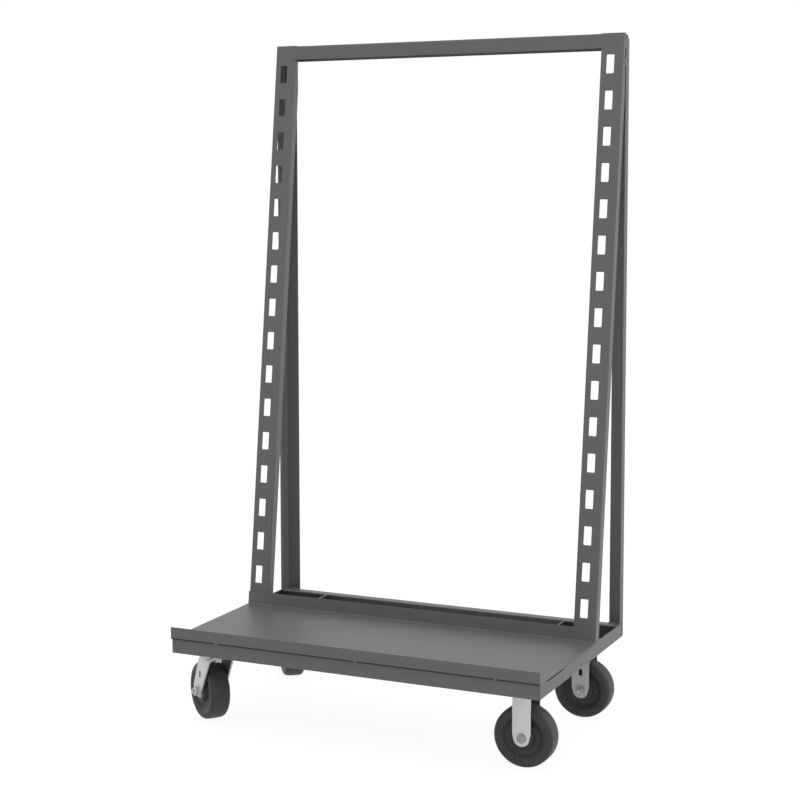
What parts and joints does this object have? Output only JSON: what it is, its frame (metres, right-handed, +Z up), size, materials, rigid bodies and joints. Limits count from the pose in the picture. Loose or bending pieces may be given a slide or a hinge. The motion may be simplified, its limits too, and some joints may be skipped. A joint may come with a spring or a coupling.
{
  "type": "adjustable tray truck",
  "caption": "Welded steel truck on casters, with a lipped base tray and slotted posts that lean back against a tall rear frame and take hanging trays.",
  "frame": {"origin": "on the floor, under the middle of the base frame", "axes": "+X to the right end (the rigid casters), +Y to the back (the rear frame), +Z up"},
  "size_m": [0.9472, 0.6146, 1.6337],
  "materials": {
    "grey_paint": "satin grey powder coat",
    "zinc_plate": "bright zinc plate",
    "wheel": "moulded phenolic, dark grey",
    "bearing_steel": "ground steel, oiled"
  },
  "bodies": {
    "frame": {"base_tray": "grey_paint", "caster_bolts": "zinc_plate", "caster_lock_washers": "zinc_plate", "caster_nuts": "zinc_plate", "front_left_caster_plate": "zinc_plate", "front_left_kingpin": "zinc_plate", "front_left_kingpin_nut": "zinc_plate", "front_left_swivel_balls": "bearing_steel", "front_rail": "grey_paint", "front_right_axle_bolt": "zinc_plate", "front_right_axle_nut": "zinc_plate", "front_right_axle_sleeve": "zinc_plate", "front_right_caster_plate": "zinc_plate", "front_right_fork": "zinc_plate", "front_right_thrust_washers": "zinc_plate", "left_cross_member": "grey_paint", "left_side_rail": "grey_paint", "left_slotted_post": "grey_paint", "rear_frame": "grey_paint", "rear_left_caster_plate": "zinc_plate", "rear_left_kingpin": "zinc_plate", "rear_left_kingpin_nut": "zinc_plate", "rear_left_swivel_balls": "bearing_steel", "rear_rail": "grey_paint", "rear_right_axle_bolt": "zinc_plate", "rear_right_axle_nut": "zinc_plate", "rear_right_axle_sleeve": "zinc_plate", "rear_right_caster_plate": "zinc_plate", "rear_right_fork": "zinc_plate", "rear_right_thrust_washers": "zinc_plate", "right_cross_member": "grey_paint", "right_side_rail": "grey_paint", "right_slotted_post": "grey_paint", "top_front_rail": "grey_paint"},
    "front_left_swivel_body": {"front_left_axle_bolt": "zinc_plate", "front_left_axle_nut": "zinc_plate", "front_left_axle_sleeve": "zinc_plate", "front_left_fork": "zinc_plate", "front_left_thrust_washers": "zinc_plate"},
    "rear_left_swivel_body": {"rear_left_axle_bolt": "zinc_plate", "rear_left_axle_nut": "zinc_plate", "rear_left_axle_sleeve": "zinc_plate", "rear_left_fork": "zinc_plate", "rear_left_thrust_washers": "zinc_plate"},
    "front_right_wheel_body": {"front_right_roller_bearing": "bearing_steel", "front_right_wheel": "wheel"},
    "rear_right_wheel_body": {"rear_right_roller_bearing": "bearing_steel", "rear_right_wheel": "wheel"},
    "front_left_wheel_body": {"front_left_roller_bearing": "bearing_steel", "front_left_wheel": "wheel"},
    "rear_left_wheel_body": {"rear_left_roller_bearing": "bearing_steel", "rear_left_wheel": "wheel"}
  },
  "joints": [
    {"name": "front_right_wheel_spin", "type": "hinge", "parent": "frame", "child": "front_right_wheel_body", "pos_m": [0.3892, -0.2008, 0.06985], "axis": [0, 1, 0], "continuous": true},
    {"name": "rear_right_wheel_spin", "type": "hinge", "parent": "frame", "child": "rear_right_wheel_body", "pos_m": [0.3892, 0.2146, 0.06985], "axis": [0, 1, 0], "continuous": true},
    {"name": "front_left_swivel", "type": "hinge", "parent": "frame", "child": "front_left_swivel_body", "pos_m": [-0.3892, -0.2146, 0.163], "axis": [0, 0, 1], "continuous": true},
    {"name": "front_left_wheel_spin", "type": "hinge", "parent": "front_left_swivel_body", "child": "front_left_wheel_body", "pos_m": [-0.41955, -0.19173, 0.06985], "axis": [-0.6018, -0.7986, 0], "continuous": true},
    {"name": "rear_left_swivel", "type": "hinge", "parent": "frame", "child": "rear_left_swivel_body", "pos_m": [-0.3892, 0.2008, 0.163], "axis": [0, 0, 1], "continuous": true},
    {"name": "rear_left_wheel_spin", "type": "hinge", "parent": "rear_left_swivel_body", "child": "rear_left_wheel_body", "pos_m": [-0.41154, 0.23154, 0.06985], "axis": [-0.809, -0.5878, 0], "continuous": true}
  ]
}
